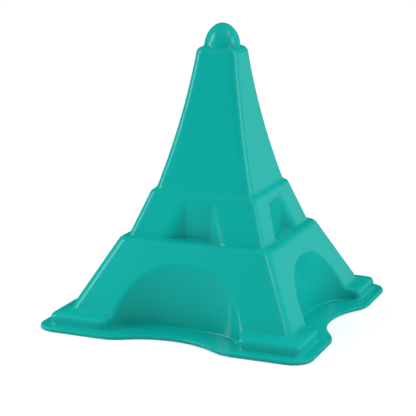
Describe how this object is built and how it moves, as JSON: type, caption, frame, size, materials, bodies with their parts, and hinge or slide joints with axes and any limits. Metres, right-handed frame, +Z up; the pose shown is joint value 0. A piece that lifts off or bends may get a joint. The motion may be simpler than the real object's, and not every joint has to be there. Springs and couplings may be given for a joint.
{
  "type": "sand mould",
  "caption": "Hollow teal plastic sand mould in the form of a tiered tower: arched legs, stepped ledges with niches, tall tapering spire with a domed tip, and flat flange round its open base.",
  "frame": {"origin": "centre of the base flange's underside, on the ground", "axes": "+Z up along the tower's axis to the domed tip, -Y out of the front side, +X out of the right side"},
  "size_m": [0.1624, 0.1624, 0.17],
  "materials": {
    "mould_plastic": "satin moulded polypropylene, teal all through"
  },
  "bodies": {
    "root": {"base_flange": "mould_plastic", "foot_plinth_front_right": "mould_plastic", "foot_plinth_back_right": "mould_plastic", "foot_plinth_back_left": "mould_plastic", "foot_plinth_front_left": "mould_plastic", "corner_leg_front_right": "mould_plastic", "corner_leg_back_right": "mould_plastic", "corner_leg_back_left": "mould_plastic", "corner_leg_front_left": "mould_plastic", "arch_scoop_front": "mould_plastic", "arch_scoop_right": "mould_plastic", "arch_scoop_back": "mould_plastic", "arch_scoop_left": "mould_plastic", "lower_band": "mould_plastic", "first_ledge": "mould_plastic", "middle_tier": "mould_plastic", "window_niche_front": "mould_plastic", "window_niche_right": "mould_plastic", "window_niche_back": "mould_plastic", "window_niche_left": "mould_plastic", "second_ledge": "mould_plastic", "spire": "mould_plastic", "spire_cap": "mould_plastic", "finial": "mould_plastic"}
  },
  "joints": []
}
